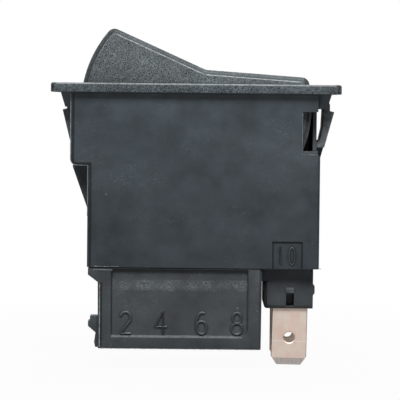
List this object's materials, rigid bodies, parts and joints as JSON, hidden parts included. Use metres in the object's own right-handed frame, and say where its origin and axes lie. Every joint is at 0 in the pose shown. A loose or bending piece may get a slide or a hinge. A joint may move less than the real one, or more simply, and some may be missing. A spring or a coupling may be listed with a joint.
{
  "type": "four-wheel drive rocker switch",
  "caption": "Snap-in panel rocker switch with an oblong bezel, a V-shaped rocker, a boxed pin connector below and side push-on tabs.",
  "frame": {"origin": "centre of the bezel's underside, the face that seats on the panel", "axes": "+Z out of the panel towards the rocker, +X along the bezel towards the side tabs, +Y across the bezel from the even-numbered to the odd-numbered terminals"},
  "size_m": [0.0508, 0.0254, 0.0593],
  "materials": {
    "body_plastic": "fine-textured moulded black-grey nylon",
    "rocker_plastic": "spark-textured moulded nylon",
    "base_plastic": "satin moulded nylon",
    "plunger_plastic": "natural acetal",
    "lens_plastic": "smoked translucent",
    "lamp_glass": "clear",
    "tinned_brass": "dull tin plate",
    "contact_copper": "rolled copper alloy",
    "contact_silver": "satin silver alloy",
    "spring_steel": "drawn wire"
  },
  "bodies": {
    "switch_body": {"housing": "body_plastic", "base": "base_plastic", "fixed_contacts": "contact_silver", "lamp_left": "lamp_glass", "lamp_right": "lamp_glass", "terminal_1": "tinned_brass", "terminal_2": "tinned_brass", "terminal_3": "tinned_brass", "terminal_4": "tinned_brass", "terminal_5": "tinned_brass", "terminal_6": "tinned_brass", "terminal_7": "tinned_brass", "terminal_8": "tinned_brass", "terminal_9": "tinned_brass", "terminal_10": "tinned_brass"},
    "rocker": {"rocker": "rocker_plastic", "lens_left": "lens_plastic", "lens_right": "lens_plastic", "plunger_spring_near": "spring_steel", "plunger_spring_far": "spring_steel"},
    "plunger_near": {"plunger_near": "plunger_plastic"},
    "contact_near": {"contact_blade_near": "contact_copper", "moving_contacts_near": "contact_silver"},
    "plunger_far": {"plunger_far": "plunger_plastic"},
    "contact_far": {"contact_blade_far": "contact_copper", "moving_contacts_far": "contact_silver"}
  },
  "joints": [
    {"name": "rocker_tilt", "type": "hinge", "parent": "switch_body", "child": "rocker", "pos_m": [0, 0, -0.0024], "axis": [0, -1, 0], "range_deg": [0, 28]},
    {"name": "plunger_slide_near", "type": "slide", "parent": "rocker", "child": "plunger_near", "axis": [0.2419, 0, 0.9703], "range_m": [0, 0.0008], "stiffness_N_per_m": 300, "springref_m": -0.002, "deforming": ["plunger_spring_near"]},
    {"name": "contact_tilt_near", "type": "hinge", "parent": "switch_body", "child": "contact_near", "pos_m": [0, -0.0039, -0.0184], "axis": [0, -1, 0], "range_deg": [-12, 0]},
    {"name": "plunger_slide_far", "type": "slide", "parent": "rocker", "child": "plunger_far", "axis": [0.2419, 0, 0.9703], "range_m": [0, 0.0008], "stiffness_N_per_m": 300, "springref_m": -0.002, "deforming": ["plunger_spring_far"]},
    {"name": "contact_tilt_far", "type": "hinge", "parent": "switch_body", "child": "contact_far", "pos_m": [0, 0.0039, -0.0184], "axis": [0, -1, 0], "range_deg": [-12, 0]}
  ],
  "couplings": [
    {"joint": "contact_tilt_near", "follows": "rocker_tilt", "ratio": -0.42857},
    {"joint": "contact_tilt_far", "follows": "rocker_tilt", "ratio": -0.42857}
  ]
}
